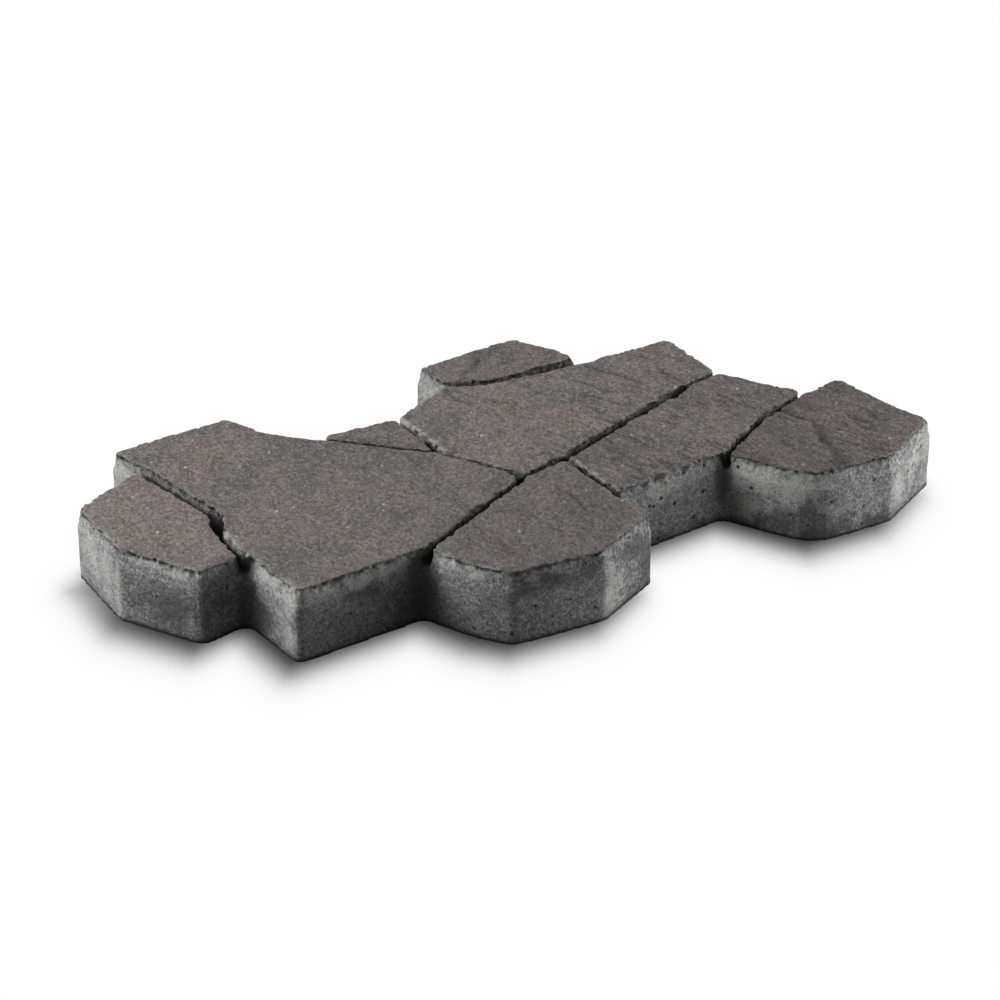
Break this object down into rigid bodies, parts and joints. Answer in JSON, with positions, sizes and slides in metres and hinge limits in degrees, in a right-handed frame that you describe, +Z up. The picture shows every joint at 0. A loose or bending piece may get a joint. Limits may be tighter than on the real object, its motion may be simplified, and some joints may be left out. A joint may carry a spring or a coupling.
{
  "type": "concrete paving stone",
  "caption": "Interlocking cast concrete paver moulded as a group of flagstones with sunk false joints, laid on a sand bed to pave patios and paths.",
  "frame": {"origin": "centre of the bounding box, on the bed face that lies on the ground", "axes": "+X along the length, the step to the next paver in its row; +Y the step to the next row; +Z up, out of the walking face"},
  "size_m": [0.6534, 0.367, 0.06],
  "materials": {
    "concrete": "matte"
  },
  "bodies": {
    "root": {"paving_stone": "concrete"}
  },
  "joints": []
}
